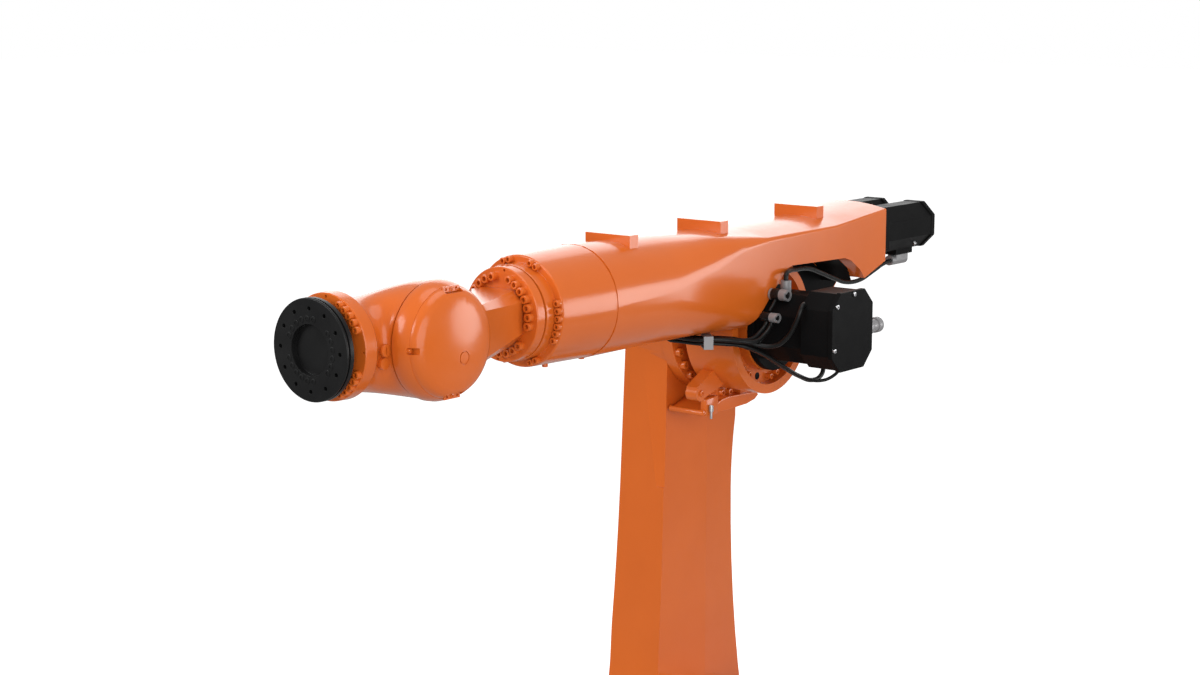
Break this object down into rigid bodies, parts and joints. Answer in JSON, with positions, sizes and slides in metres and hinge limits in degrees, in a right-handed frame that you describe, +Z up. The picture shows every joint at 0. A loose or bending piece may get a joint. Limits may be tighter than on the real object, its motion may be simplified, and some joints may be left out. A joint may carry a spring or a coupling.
{
  "type": "articulated industrial robot arm",
  "caption": "Six-axis industrial robot arm on a bolt-down base: swivel column, side link arm, lofted forearm with rear motors, roll, bend and tool flange.",
  "frame": {"origin": "centre of the base's underside, on the floor and on the swivel axis", "axes": "+X forward, the way the tool flange points; +Y to the arm's left, the side of the elbow motor; +Z up"},
  "size_m": [2.815, 1.05, 2.6785],
  "materials": {
    "orange_paint": "satin orange paint on castings",
    "black_paint": "satin black paint on motors",
    "bare_steel": "bare steel",
    "connector_metal": "grey cast connector shells",
    "cable_rubber": "matt black cable jackets",
    "flange_steel": "blackened steel"
  },
  "bodies": {
    "base": {"base_frame": "orange_paint", "slewing_ring": "bare_steel"},
    "column": {"swivel_column": "orange_paint", "swivel_motor": "black_paint", "shoulder_motor": "black_paint", "shoulder_motor_cap": "black_paint"},
    "link": {"link_arm": "orange_paint", "shoulder_cover": "orange_paint", "elbow_cover": "orange_paint", "elbow_ring": "orange_paint"},
    "arm": {"arm_casting": "orange_paint", "stop_block": "orange_paint", "grease_fitting": "bare_steel", "elbow_motor_flange": "black_paint", "elbow_motor": "black_paint", "elbow_motor_cap": "black_paint", "elbow_connector": "connector_metal", "rear_motor_left": "black_paint", "rear_motor_right": "black_paint", "rear_motor_cap_left": "black_paint", "rear_motor_cap_right": "black_paint", "rear_connector": "connector_metal", "cable_sleeves": "connector_metal", "cable_clamp": "connector_metal", "cable_harness": "cable_rubber", "upper_cable": "cable_rubber", "arm_sleeve": "orange_paint"},
    "wrist": {"roll_ring": "orange_paint", "wrist_housing": "orange_paint", "bend_cover": "orange_paint", "bend_clips": "orange_paint"},
    "hand": {"hand_housing": "orange_paint", "hand_ring": "orange_paint", "hand_plugs": "orange_paint"},
    "flange": {"tool_flange": "flange_steel"}
  },
  "joints": [
    {"name": "swivel", "type": "hinge", "parent": "base", "child": "column", "pos_m": [0, 0, 0.382], "axis": [0, 0, 1], "range_deg": [-185, 185]},
    {"name": "shoulder", "type": "hinge", "parent": "column", "child": "link", "pos_m": [0.5, 0, 0.945], "axis": [0, 1, 0], "range_deg": [-40, 110]},
    {"name": "elbow", "type": "hinge", "parent": "link", "child": "arm", "pos_m": [0.5, 0, 2.345], "axis": [0, -1, 0], "range_deg": [-60, 184]},
    {"name": "wrist_roll", "type": "hinge", "parent": "arm", "child": "wrist", "pos_m": [1.58, 0, 2.51], "axis": [1, 0, 0], "range_deg": [-350, 350]},
    {"name": "wrist_bend", "type": "hinge", "parent": "wrist", "child": "hand", "pos_m": [2, 0, 2.51], "axis": [0, 1, 0], "range_deg": [-120, 120]},
    {"name": "tool_roll", "type": "hinge", "parent": "hand", "child": "flange", "pos_m": [2.23, 0, 2.51], "axis": [1, 0, 0], "range_deg": [-350, 350]}
  ]
}
